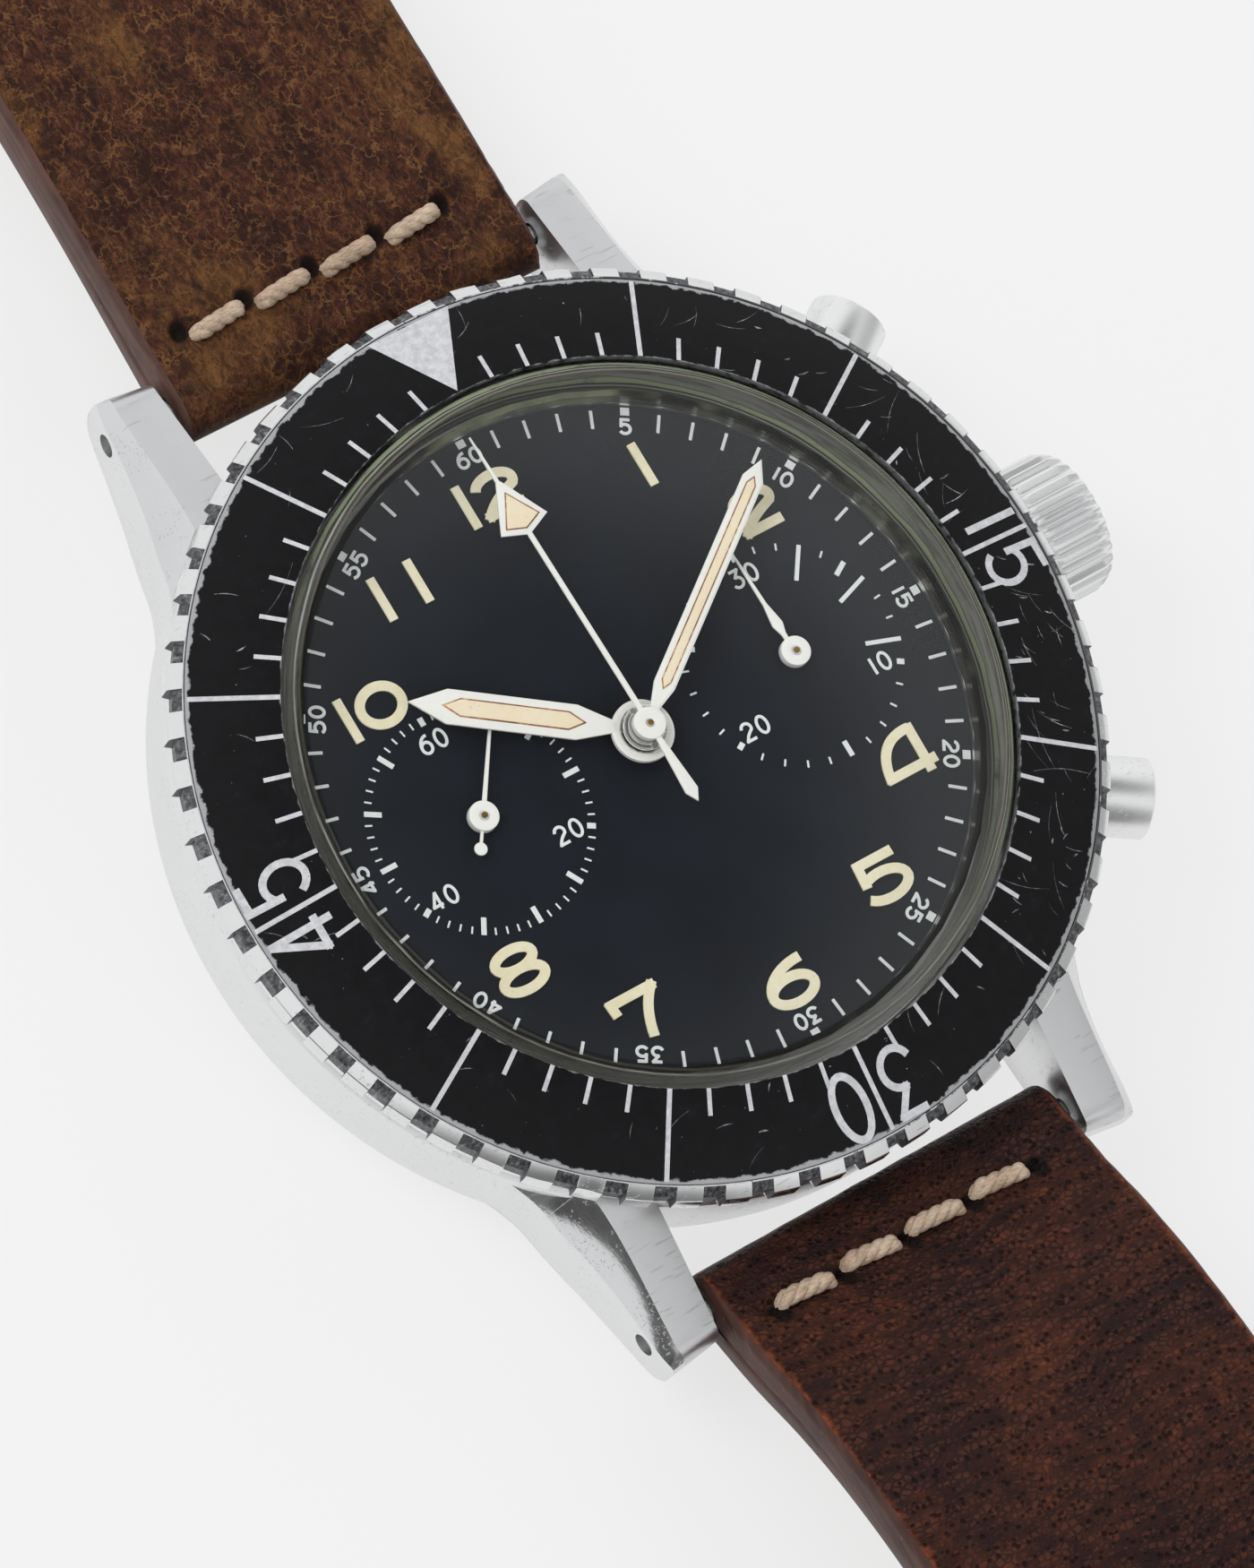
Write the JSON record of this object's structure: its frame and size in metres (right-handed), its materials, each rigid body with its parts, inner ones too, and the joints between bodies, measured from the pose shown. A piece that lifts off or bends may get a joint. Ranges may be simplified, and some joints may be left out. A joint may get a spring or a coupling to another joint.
{
  "type": "chronograph wristwatch",
  "caption": "Round steel chronograph wristwatch with a turning minute bezel, round pushers, a fluted crown, sub-dials and a leather strap opened out flat.",
  "frame": {"origin": "centre of the case back's flat outside, which the watch lies on", "axes": "+X to three o'clock and the crown, +Y to twelve o'clock, +Z out of the dial"},
  "size_m": [0.0471, 0.2492, 0.0134],
  "materials": {
    "steel": "satin and polished stainless steel, finely scratched",
    "movement_steel": "fine ground steel",
    "plated_brass": "grained nickel-gilt plate",
    "brass": "gilt brass",
    "blued_steel": "blued spring steel",
    "crystal": "clear domed acrylic",
    "rubber": "black rubber",
    "dial_black": "matte black lacquer with printed scales",
    "insert_black": "worn black ring with silvery minute marks",
    "hands_white": "white paint with aged luminous filling",
    "leather": "aged brown leather with thick beige stitches"
  },
  "bodies": {
    "case": {"case_middle": "steel", "case_back": "steel", "case_back_gasket": "rubber", "crystal": "crystal", "crystal_ring": "steel", "bezel_spring": "movement_steel", "crown_tube": "steel", "spring_bar_top": "steel", "spring_bar_bottom": "steel", "dial": "dial_black", "main_plate": "plated_brass", "barrel_bridge": "plated_brass", "train_bridge": "plated_brass", "balance_cock": "plated_brass", "chronograph_bridge": "plated_brass", "pallet_cock": "plated_brass", "mainspring": "blued_steel", "hairspring": "blued_steel", "pusher_start_spring": "movement_steel", "pusher_reset_spring": "movement_steel"},
    "bezel": {"bezel_ring": "steel", "bezel_insert": "insert_black"},
    "seconds": {"fourth_wheel": "brass", "seconds_hand": "hands_white"},
    "centre": {"centre_wheel": "brass"},
    "minutes": {"cannon_pinion": "movement_steel", "minute_hand": "hands_white"},
    "hours": {"hour_wheel": "brass", "hour_hand": "hands_white"},
    "minute_wheel_set": {"minute_wheel": "brass"},
    "third": {"third_wheel": "brass"},
    "escape": {"escape_wheel": "movement_steel"},
    "barrel_drum": {"barrel": "brass"},
    "pallets": {"pallet_fork": "movement_steel"},
    "balance": {"balance_wheel": "brass"},
    "chronograph": {"chronograph_runner": "brass", "chronograph_hand": "hands_white"},
    "counter": {"minute_recorder": "brass", "counter_hand": "hands_white"},
    "winding": {"winding_pinion": "movement_steel", "sliding_pinion": "movement_steel"},
    "crown_set": {"crown": "steel", "winding_stem": "movement_steel"},
    "crown_gear": {"crown_wheel": "movement_steel"},
    "ratchet": {"ratchet_wheel": "movement_steel", "barrel_arbor": "movement_steel"},
    "start_button": {"pusher_start": "steel"},
    "reset_button": {"pusher_reset": "steel"},
    "start_lever": {"operating_lever": "movement_steel"},
    "hammer": {"reset_hammer": "movement_steel"},
    "coupling_arm": {"coupling_lever": "movement_steel"},
    "coupling_gear": {"coupling_wheel": "brass"},
    "columns": {"column_wheel": "movement_steel"},
    "upper_strap": {"strap_top": "leather", "keeper_fixed": "leather", "buckle_bar": "steel"},
    "lower_strap": {"strap_bottom": "leather"},
    "buckle": {"buckle_frame": "steel"},
    "tang": {"buckle_tang": "steel"},
    "free_keeper": {"keeper_sliding": "leather"}
  },
  "joints": [
    {"name": "bezel_turn", "type": "hinge", "parent": "case", "child": "bezel", "pos_m": [0, 0, 0.0096], "axis": [0, 0, 1], "continuous": true},
    {"name": "seconds_turn", "type": "hinge", "parent": "case", "child": "seconds", "pos_m": [-0.00844, 0, 0.0053], "axis": [0, 0, 1], "continuous": true},
    {"name": "centre_turn", "type": "hinge", "parent": "case", "child": "centre", "pos_m": [0, 0, 0.0066], "axis": [0, 0, 1], "continuous": true},
    {"name": "minute_hand_turn", "type": "hinge", "parent": "case", "child": "minutes", "pos_m": [0, 0, 0.009], "axis": [0, 0, 1], "continuous": true},
    {"name": "hour_hand_turn", "type": "hinge", "parent": "case", "child": "hours", "pos_m": [0, 0, 0.009], "axis": [0, 0, 1], "continuous": true},
    {"name": "minute_wheel_turn", "type": "hinge", "parent": "case", "child": "minute_wheel_set", "pos_m": [0.00236, 0.00165, 0.008], "axis": [0, 0, 1], "continuous": true},
    {"name": "third_turn", "type": "hinge", "parent": "case", "child": "third", "pos_m": [-0.00474, -0.00209, 0.006], "axis": [0, 0, 1], "continuous": true},
    {"name": "escape_turn", "type": "hinge", "parent": "case", "child": "escape", "pos_m": [-0.0098, -0.00373, 0.0057], "axis": [0, 0, 1], "continuous": true},
    {"name": "barrel_turn", "type": "hinge", "parent": "case", "child": "barrel_drum", "pos_m": [0.00431, 0.00513, 0.0055], "axis": [0, 0, 1], "continuous": true},
    {"name": "pallet_rock", "type": "hinge", "parent": "case", "child": "pallets", "pos_m": [-0.00843, -0.00582, 0.0057], "axis": [0, 0, 1], "range_deg": [-5.5, 5.5]},
    {"name": "balance_swing", "type": "hinge", "parent": "case", "child": "balance", "pos_m": [-0.00658, -0.00867, 0.005], "axis": [0, 0, 1], "range_deg": [-270, 270], "stiffness_Nm_per_rad": 0.0000004},
    {"name": "chronograph_turn", "type": "hinge", "parent": "case", "child": "chronograph", "pos_m": [0, 0, 0.0033], "axis": [0, 0, 1], "continuous": true},
    {"name": "counter_turn", "type": "hinge", "parent": "case", "child": "counter", "pos_m": [0.00844, 0, 0.0033], "axis": [0, 0, 1], "continuous": true},
    {"name": "crown_turn", "type": "hinge", "parent": "case", "child": "winding", "pos_m": [0, 0, 0.006], "axis": [1, 0, 0], "continuous": true},
    {"name": "crown_pull", "type": "slide", "parent": "winding", "child": "crown_set", "axis": [1, 0, 0], "range_m": [0, 0.0009]},
    {"name": "crown_wheel_turn", "type": "hinge", "parent": "case", "child": "crown_gear", "pos_m": [0.0116, 0.0021, 0.004], "axis": [0, 0, 1], "continuous": true},
    {"name": "ratchet_turn", "type": "hinge", "parent": "case", "child": "ratchet", "pos_m": [0.00431, 0.00513, 0.004], "axis": [0, 0, 1], "continuous": true},
    {"name": "start_press", "type": "slide", "parent": "case", "child": "start_button", "axis": [-0.8526, -0.5225, 0], "range_m": [0, 0.0009], "stiffness_N_per_m": 1500, "deforming": ["pusher_start_spring"]},
    {"name": "reset_press", "type": "slide", "parent": "case", "child": "reset_button", "axis": [-0.8526, 0.5225, 0], "range_m": [0, 0.0009], "stiffness_N_per_m": 1500, "deforming": ["pusher_reset_spring"]},
    {"name": "start_lever_turn", "type": "hinge", "parent": "case", "child": "start_lever", "pos_m": [0.00819, 0.01201, 0.003], "axis": [0, 0, 1], "range_deg": [-9, 0]},
    {"name": "hammer_turn", "type": "hinge", "parent": "case", "child": "hammer", "pos_m": [0.0045, -0.00979, 0.003], "axis": [0, 0, 1], "range_deg": [0, 9]},
    {"name": "coupling_arm_turn", "type": "hinge", "parent": "case", "child": "coupling_arm", "pos_m": [-0.00844, 0, 0.003], "axis": [0, 0, 1], "range_deg": [-5.5, 0]},
    {"name": "coupling_wheel_turn", "type": "hinge", "parent": "coupling_arm", "child": "coupling_gear", "pos_m": [-0.00437, 0.00171, 0.0033], "axis": [0, 0, 1], "continuous": true},
    {"name": "column_wheel_turn", "type": "hinge", "parent": "case", "child": "columns", "pos_m": [0.0099, 0.0063, 0.003], "axis": [0, 0, 1], "continuous": true},
    {"name": "upper_strap_hinge", "type": "hinge", "parent": "case", "child": "upper_strap", "pos_m": [0, 0.0232, 0.0049], "axis": [1, 0, 0], "range_deg": [-75, 25]},
    {"name": "lower_strap_hinge", "type": "hinge", "parent": "case", "child": "lower_strap", "pos_m": [0, -0.0232, 0.0049], "axis": [-1, 0, 0], "range_deg": [-75, 25]},
    {"name": "buckle_hinge", "type": "hinge", "parent": "upper_strap", "child": "buckle", "pos_m": [0, 0.0975, 0.00237], "axis": [1, 0, 0], "range_deg": [-30, 110]},
    {"name": "tang_hinge", "type": "hinge", "parent": "buckle", "child": "tang", "pos_m": [0, 0.0975, 0.00237], "axis": [1, 0, 0], "range_deg": [0, 100]},
    {"name": "free_keeper_slide", "type": "slide", "parent": "upper_strap", "child": "free_keeper", "axis": [0, 1, 0], "range_m": [-0.009, 0.006]}
  ],
  "couplings": [
    {"joint": "centre_turn", "follows": "seconds_turn", "ratio": 0.016667},
    {"joint": "minute_hand_turn", "follows": "seconds_turn", "ratio": 0.016667},
    {"joint": "hour_hand_turn", "follows": "seconds_turn", "ratio": 0.0013889},
    {"joint": "minute_wheel_turn", "follows": "seconds_turn", "ratio": -0.0055556},
    {"joint": "third_turn", "follows": "seconds_turn", "ratio": -0.13333},
    {"joint": "escape_turn", "follows": "seconds_turn", "ratio": -10},
    {"joint": "barrel_turn", "follows": "seconds_turn", "ratio": -0.0027778},
    {"joint": "coupling_wheel_turn", "follows": "seconds_turn", "ratio": -2.7273},
    {"joint": "counter_turn", "follows": "chronograph_turn", "ratio": 0.033333},
    {"joint": "crown_wheel_turn", "follows": "crown_turn", "ratio": 0.34483},
    {"joint": "ratchet_turn", "follows": "crown_turn", "ratio": -0.2},
    {"joint": "start_lever_turn", "follows": "start_press", "rad_per_m": -168},
    {"joint": "hammer_turn", "follows": "reset_press", "rad_per_m": 167}
  ]
}
